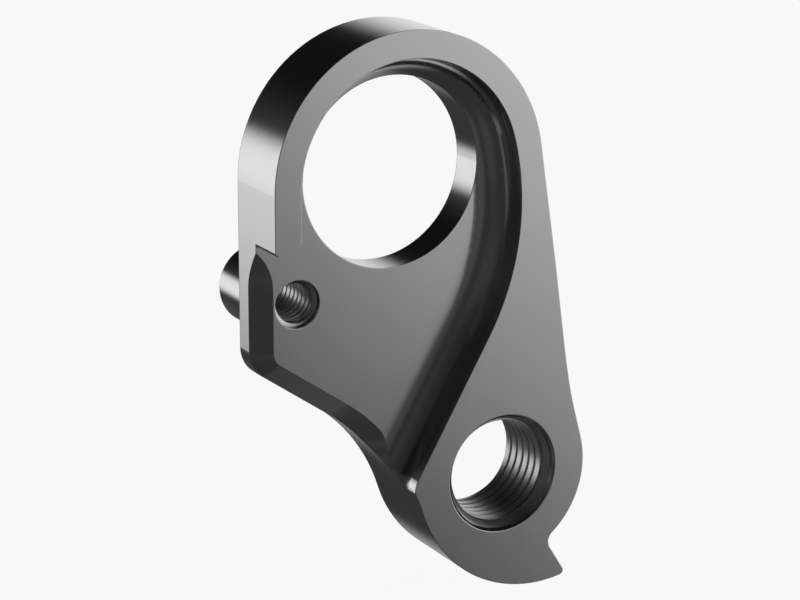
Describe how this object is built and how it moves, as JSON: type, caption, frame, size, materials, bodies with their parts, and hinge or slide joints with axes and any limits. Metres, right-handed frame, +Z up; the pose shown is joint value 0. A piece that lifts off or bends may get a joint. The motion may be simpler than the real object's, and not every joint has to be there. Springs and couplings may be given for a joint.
{
  "type": "bicycle derailleur hanger",
  "caption": "Machined hanger that bolts to a frame's dropout: a ring round the wheel axle, a coved recess, and a threaded lobe with a stop that carries the rear derailleur.",
  "frame": {"origin": "on the wheel-axle line, in the plane of the face that seats against the frame's dropout", "axes": "-Y out of the axle bore towards the outer side, +Z up through the ring, +X towards the lobe"},
  "size_m": [0.0294, 0.0116, 0.0494],
  "materials": {
    "hanger": "smooth machined, satin"
  },
  "bodies": {
    "root": {"hanger": "hanger"}
  },
  "joints": []
}
